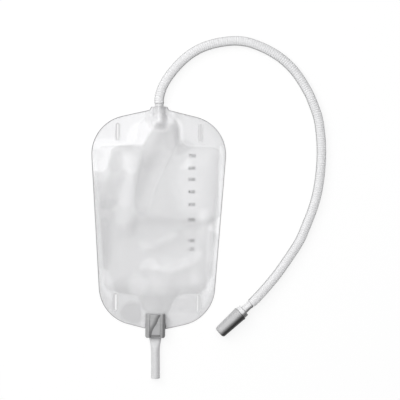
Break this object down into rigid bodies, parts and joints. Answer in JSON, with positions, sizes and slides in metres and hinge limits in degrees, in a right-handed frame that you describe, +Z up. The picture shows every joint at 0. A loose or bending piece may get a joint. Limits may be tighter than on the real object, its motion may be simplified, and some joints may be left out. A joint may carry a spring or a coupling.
{
  "type": "urine drainage bag",
  "caption": "Flat leg-worn urine drainage bag with strap slots, corrugated inlet tube, capped stepped connector and a lever clamp on a soft outlet tube.",
  "frame": {"origin": "under the middle of the bag from the mouth of its inlet to the end of its outlet tube, on the surface it lies on", "axes": "+Y along the bag towards the inlet, +X across it, +Z up out of the front film"},
  "size_m": [0.2724, 0.3985, 0.017],
  "materials": {
    "back_sheet": "milky soft sheet, faint sheen",
    "clear_film": "translucent soft film, creased",
    "clear_plastic": "translucent moulded plastic",
    "tube_plastic": "translucent flexible tube",
    "clamp_plastic": "glossy moulded grey plastic",
    "cap_plastic": "satin moulded grey plastic"
  },
  "bodies": {
    "bag": {"back_panel": "back_sheet", "front_panel": "clear_film", "valve_film_back": "clear_film", "valve_film_front": "clear_film", "inlet_port": "clear_plastic", "drainage_tube": "tube_plastic", "tube_connector": "clear_plastic", "outlet_port": "clear_plastic", "outlet_tube": "tube_plastic", "clamp_base": "clamp_plastic"},
    "lever": {"clamp_lever": "clamp_plastic"},
    "cap": {"connector_cap": "cap_plastic"}
  },
  "joints": [
    {"name": "lever_hinge", "type": "hinge", "parent": "bag", "child": "lever", "pos_m": [-0.001, -0.0866, 0.0108], "axis": [-1, 0, 0], "range_deg": [0, 110]},
    {"name": "cap_pull", "type": "slide", "parent": "bag", "child": "cap", "axis": [-0.7254, -0.6883, 0], "range_m": [0, 0.032]}
  ]
}
